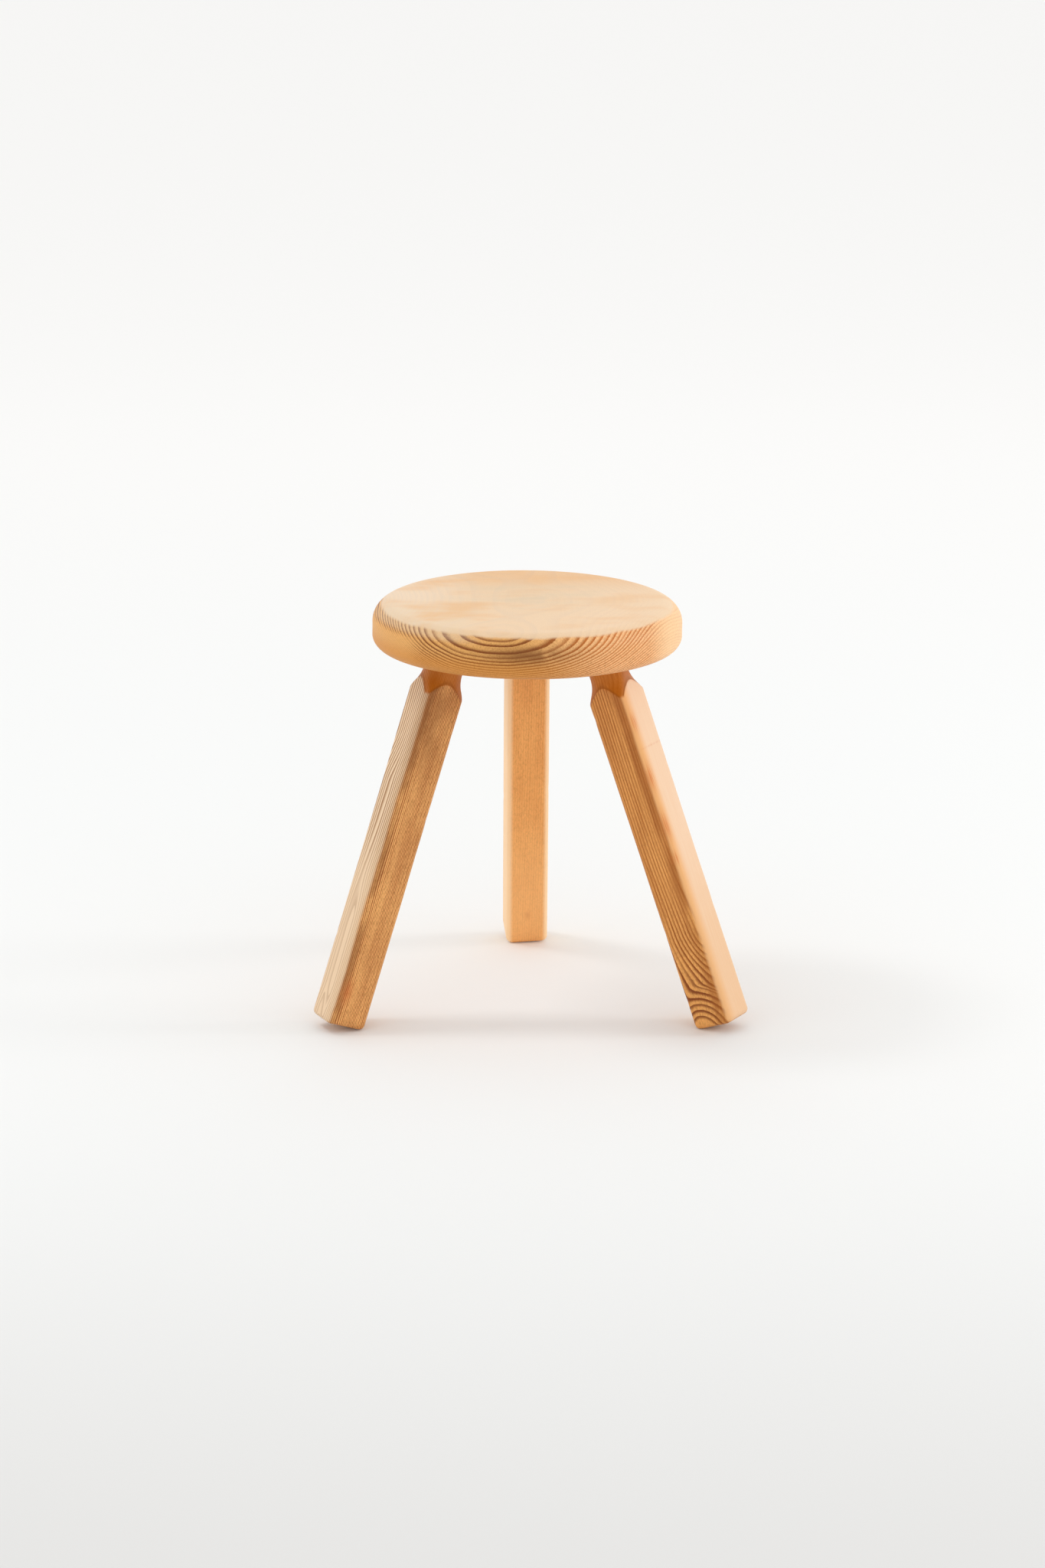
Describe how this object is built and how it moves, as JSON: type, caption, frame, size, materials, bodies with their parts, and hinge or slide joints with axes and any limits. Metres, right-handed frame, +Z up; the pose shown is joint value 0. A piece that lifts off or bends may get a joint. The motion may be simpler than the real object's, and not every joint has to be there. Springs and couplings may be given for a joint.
{
  "type": "milking stool",
  "caption": "Low milking stool in solid pine: a thick round seat on splayed square legs, whose tops are turned to round tenons and glued into blind sockets under the seat.",
  "frame": {"origin": "on the floor, under the middle of the stool's bounding box", "axes": "+Z up, square to the seat's top; the grain of the seat runs along Y, the two front legs lean towards -Y and the back leg towards +Y; +X is to the right of someone who looks along +Y"},
  "size_m": [0.421, 0.3762, 0.403],
  "materials": {
    "seat_pine": "oiled pine, satin, worn pale on the top",
    "leg_pine": "oiled pine, satin, honey brown"
  },
  "bodies": {
    "root": {"seat": "seat_pine", "left_front_leg": "leg_pine", "right_front_leg": "leg_pine", "back_leg": "leg_pine"}
  },
  "joints": []
}
